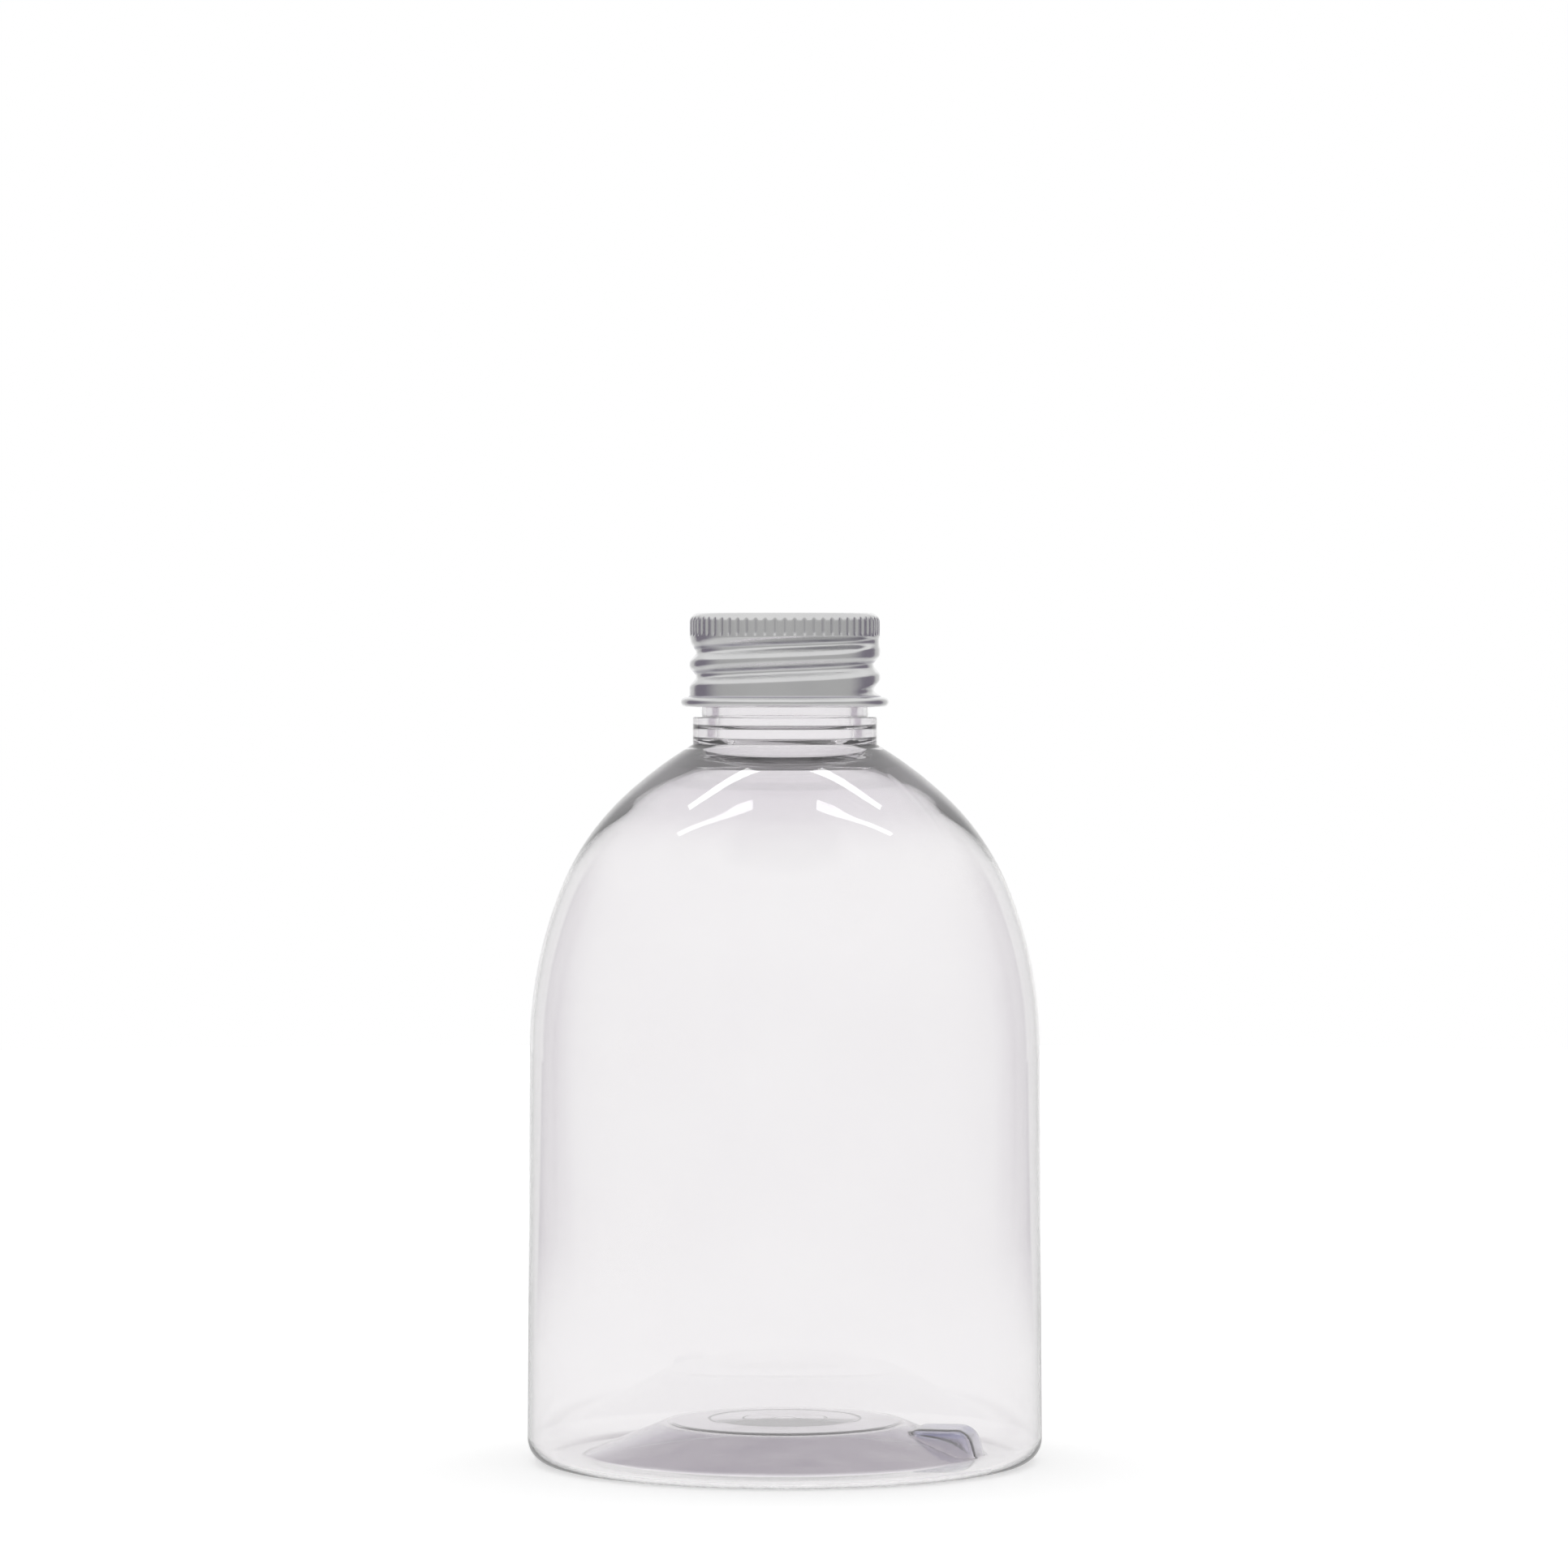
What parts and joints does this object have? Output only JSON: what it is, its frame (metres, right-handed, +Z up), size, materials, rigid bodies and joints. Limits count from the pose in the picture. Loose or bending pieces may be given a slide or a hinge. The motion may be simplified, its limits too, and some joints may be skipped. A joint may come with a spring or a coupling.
{
  "type": "plastic bottle with screw cap",
  "caption": "Small round clear plastic bottle with a domed shoulder, hollow base with a side pocket, and a knurled aluminium screw cap.",
  "frame": {"origin": "on the bottle's axis, at the level of the surface that it stands on", "axes": "+Z up along the bottle's axis; the pictured front faces -Y, and the base's pocket is 11 degrees from +X towards -Y"},
  "size_m": [0.067, 0.067, 0.1104],
  "materials": {
    "clear_plastic": "clear, glossy blown PET",
    "liner_foam": "matt expanded polyethylene foam",
    "cap_aluminium": "satin, thin clear lacquer"
  },
  "bodies": {
    "bottle": {"bottle": "clear_plastic"},
    "liner": {"cap_liner": "liner_foam"},
    "cap": {"cap_shell": "cap_aluminium"}
  },
  "joints": [
    {"name": "cap_lift", "type": "slide", "parent": "bottle", "child": "liner", "axis": [0, 0, 1], "range_m": [0, 0.0127]},
    {"name": "cap_turn", "type": "hinge", "parent": "liner", "child": "cap", "pos_m": [0, 0, 0], "axis": [0, 0, 1], "range_deg": [0, 1440]}
  ],
  "couplings": [
    {"joint": "cap_lift", "follows": "cap_turn", "m_per_rad": 0.00050532}
  ]
}
